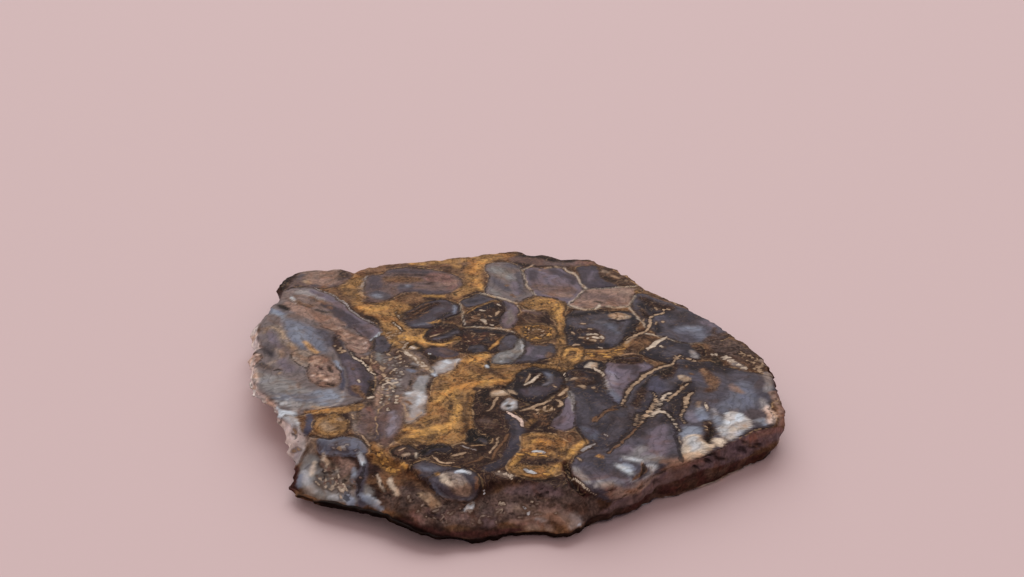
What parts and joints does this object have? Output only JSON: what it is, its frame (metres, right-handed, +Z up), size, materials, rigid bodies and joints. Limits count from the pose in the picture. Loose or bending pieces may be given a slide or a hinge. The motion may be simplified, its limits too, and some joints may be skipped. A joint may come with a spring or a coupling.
{
  "type": "moss agate slab",
  "caption": "Flat slab of natural moss agate, sawn on both faces, with a broken rim and grey, lavender, umber and ochre markings.",
  "frame": {"origin": "on the sawn bottom face, under the middle of the slab's outline", "axes": "+Z up out of the sawn top, +X along the slab's longest way, towards the narrow tip, +Y away from the sloping front rind"},
  "size_m": [0.0846, 0.079, 0.006],
  "materials": {
    "agate": "sawn and polished top with blue-grey and lavender chalcedony, umber and ochre moss, tan flecks and cream veins; rough brown rind round the rim"
  },
  "bodies": {
    "root": {"agate_slab": "agate"}
  },
  "joints": []
}
